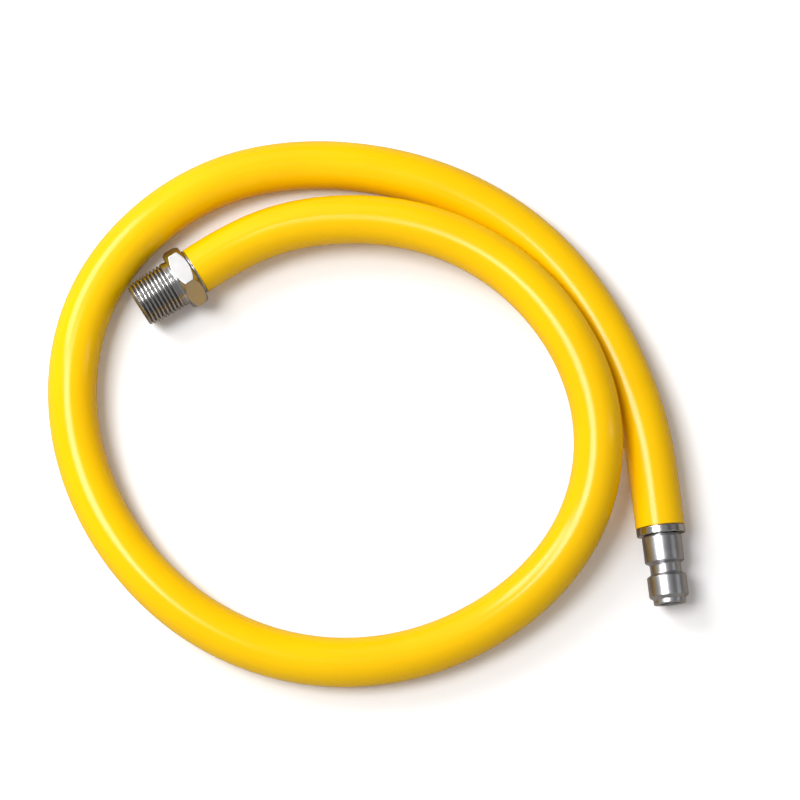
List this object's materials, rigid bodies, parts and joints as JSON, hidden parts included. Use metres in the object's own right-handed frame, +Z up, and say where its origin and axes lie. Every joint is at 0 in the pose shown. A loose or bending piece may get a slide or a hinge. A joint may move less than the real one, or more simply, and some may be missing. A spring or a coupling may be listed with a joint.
{
  "type": "flexible gas hose",
  "caption": "Yellow plastic-covered corrugated metal gas hose with a hexagon nipple on one end and a quick release plug on the other, lying in a loose coil.",
  "frame": {"origin": "on the surface that the hose lies on, below the centre of its bounding box", "axes": "+Z up, +X along the longer side of the coil, from the side with the nipple to the side with the plug; the plug points about along -Y"},
  "size_m": [0.2811, 0.2435, 0.035],
  "materials": {
    "yellow_plastic": "glossy",
    "braid_steel": "woven wire",
    "liner_steel": "rolled sheet",
    "collar_steel": "turned, bright",
    "nipple_steel": "machined, plated",
    "plug_steel": "turned, satin"
  },
  "bodies": {
    "root": {"outer_cover": "yellow_plastic", "wire_braid": "braid_steel", "corrugated_liner": "liner_steel", "nipple_end_collar": "collar_steel", "threaded_nipple": "nipple_steel", "plug_end_collar": "collar_steel", "quick_release_plug": "plug_steel"}
  },
  "joints": []
}
